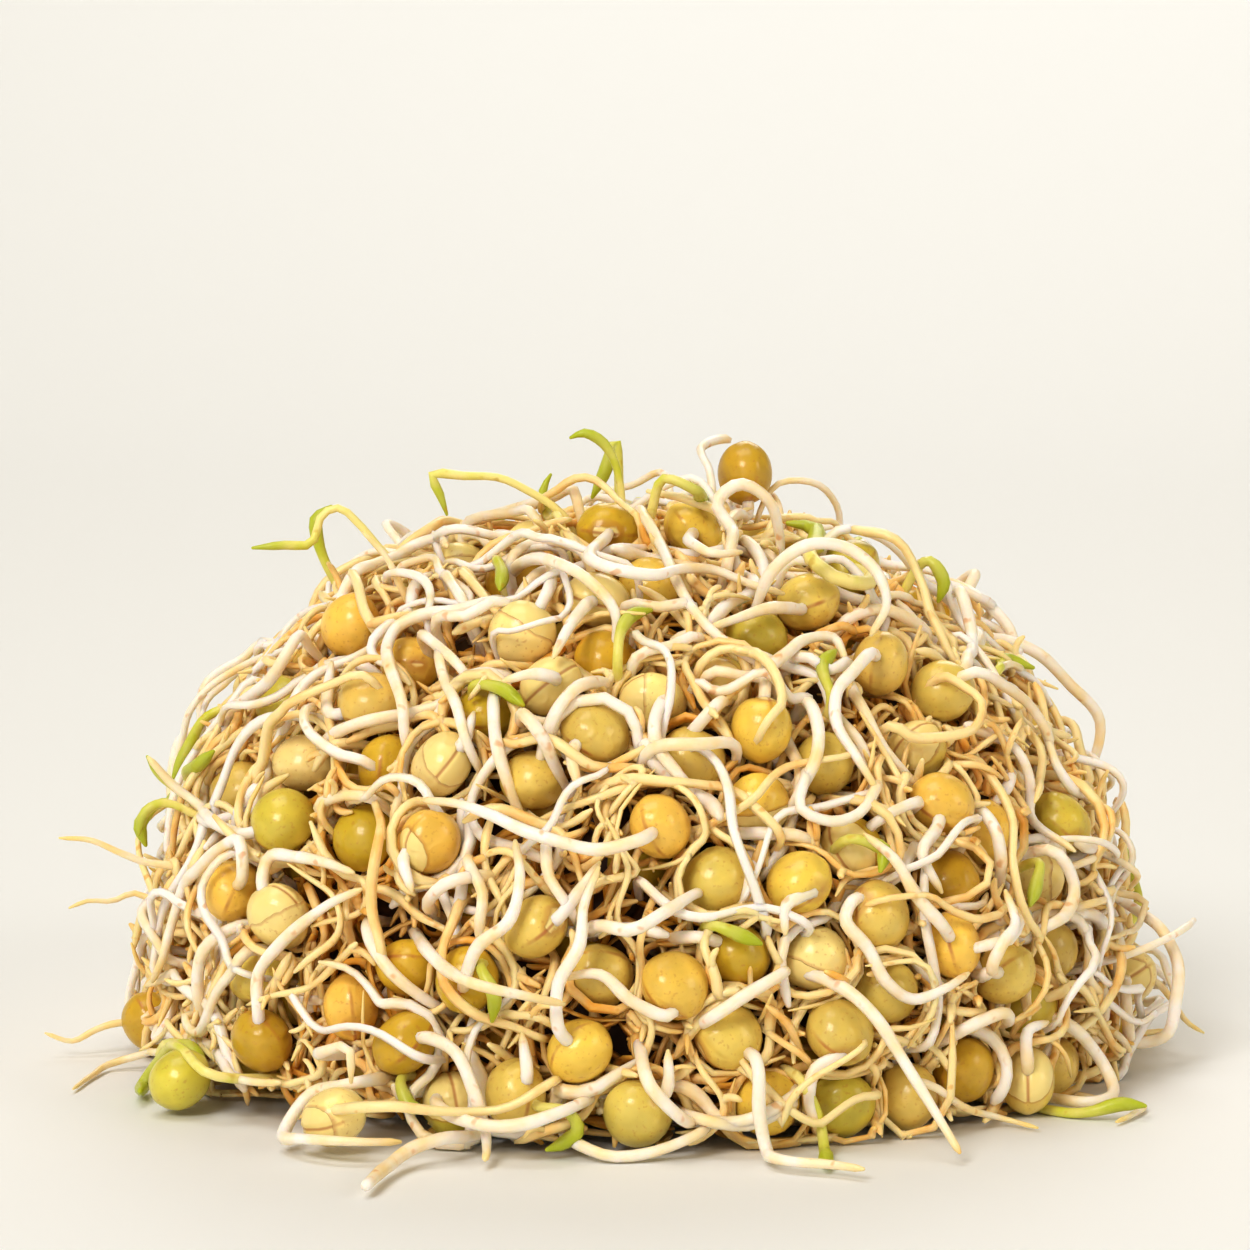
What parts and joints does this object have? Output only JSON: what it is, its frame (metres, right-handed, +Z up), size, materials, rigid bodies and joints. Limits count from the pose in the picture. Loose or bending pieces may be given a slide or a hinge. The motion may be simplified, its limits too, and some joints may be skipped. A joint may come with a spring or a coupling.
{
  "type": "heap of lentil sprouts",
  "caption": "Domed heap of sprouted lentils: glossy khaki and amber seeds with white curling shoots, matted together by thin roots, resting on a flat foot.",
  "frame": {"origin": "middle of the heap's flat foot, on the surface it rests on", "axes": "+Z up, out of the top of the heap; -Y towards the side that the picture shows; +X to its right"},
  "size_m": [0.13, 0.1398, 0.0699],
  "materials": {
    "tangle": "moist, slightly translucent white to cream shoots and roots",
    "amber": "moist lentil coat, amber, glossy",
    "khaki": "moist lentil coat, khaki, glossy",
    "olive": "moist lentil coat, dark olive, glossy",
    "green": "moist lentil coat, yellow-green, glossy",
    "pale": "moist split lentil, pale yellow, satin"
  },
  "bodies": {
    "root": {"sprout_01_olive": "olive", "sprout_02_olive": "olive", "sprout_03_pale": "pale", "sprout_04_khaki": "khaki", "sprout_05_pale": "pale", "sprout_06_khaki": "khaki", "sprout_07_amber": "amber", "sprout_08_pale": "pale", "sprout_09_khaki": "khaki", "sprout_10_amber": "amber", "sprout_11_green": "green", "sprout_12_amber": "amber", "sprout_13_amber": "amber", "sprout_14_pale": "pale", "sprout_15_olive": "olive", "sprout_16_olive": "olive", "sprout_17_green": "green", "sprout_18_olive": "olive", "sprout_19_khaki": "khaki", "sprout_20_amber": "amber", "sprout_21_amber": "amber", "sprout_22_olive": "olive", "sprout_23_khaki": "khaki", "sprout_24_khaki": "khaki", "sprout_25_amber": "amber", "sprout_26_amber": "amber", "sprout_27_khaki": "khaki", "sprout_28_amber": "amber", "sprout_29_khaki": "khaki", "sprout_30_amber": "amber", "sprout_31_khaki": "khaki", "sprout_32_khaki": "khaki", "sprout_33_green": "green", "sprout_34_khaki": "khaki", "sprout_35_khaki": "khaki", "sprout_36_pale": "pale", "sprout_37_green": "green", "sprout_38_olive": "olive", "sprout_39_amber": "amber", "sprout_40_green": "green", "sprout_41_green": "green", "sprout_42_green": "green", "sprout_43_khaki": "khaki", "sprout_44_olive": "olive", "sprout_45_pale": "pale", "sprout_46_pale": "pale", "sprout_47_khaki": "khaki", "sprout_48_green": "green", "sprout_49_pale": "pale", "sprout_50_amber": "amber", "sprout_51_amber": "amber", "sprout_52_pale": "pale", "sprout_53_pale": "pale", "sprout_54_khaki": "khaki", "sprout_55_olive": "olive", "sprout_56_olive": "olive", "sprout_57_green": "green", "sprout_58_pale": "pale", "sprout_tangle": "tangle"}
  },
  "joints": []
}
